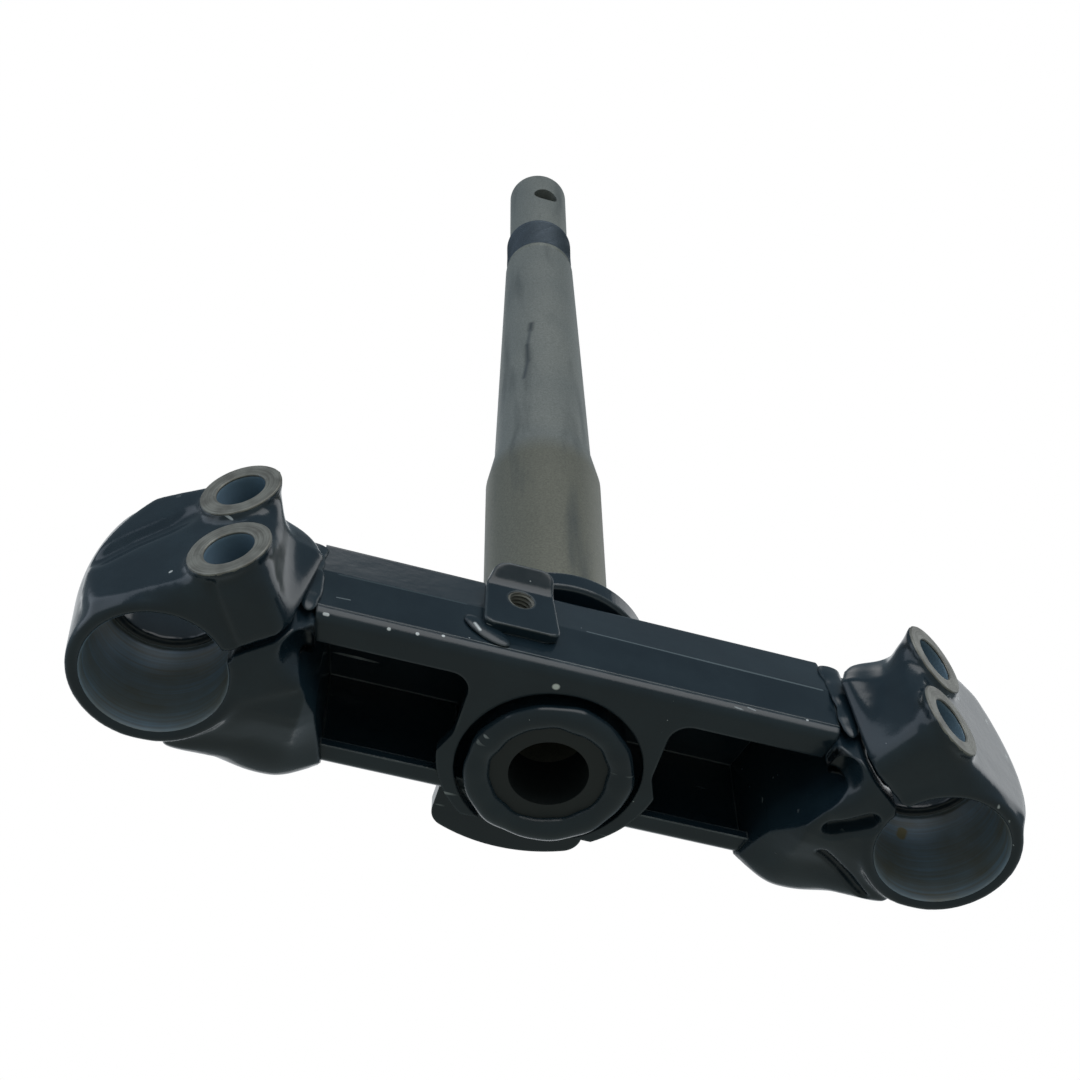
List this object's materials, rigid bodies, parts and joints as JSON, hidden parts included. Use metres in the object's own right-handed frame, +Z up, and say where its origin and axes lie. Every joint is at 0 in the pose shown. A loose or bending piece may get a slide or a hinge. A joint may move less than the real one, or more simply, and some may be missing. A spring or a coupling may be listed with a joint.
{
  "type": "motorcycle triple clamp",
  "caption": "Lower fork clamp for a motorcycle: welded steel bridge with split fork clamps, a steering stop, a threaded front tab and a long hollow steering stem.",
  "frame": {"origin": "on the stem axis, in the face of the lower bearing seat", "axes": "+Z up the steering stem, -Y to the front of the machine, +X to the right of someone facing its front"},
  "size_m": [0.2208, 0.0875, 0.322],
  "materials": {
    "phosphated_steel": "bare grey phosphated steel, matt",
    "black_paint": "gloss black enamel over steel"
  },
  "bodies": {
    "root": {"steering_stem": "phosphated_steel", "stem_hub": "black_paint", "bearing_seat": "black_paint", "bridge": "black_paint", "bottom_plate": "black_paint", "left_clamp": "black_paint", "right_clamp": "black_paint", "front_tab": "black_paint", "steering_stop": "black_paint", "stem_weld": "black_paint", "left_weld": "black_paint", "right_weld": "black_paint"}
  },
  "joints": []
}
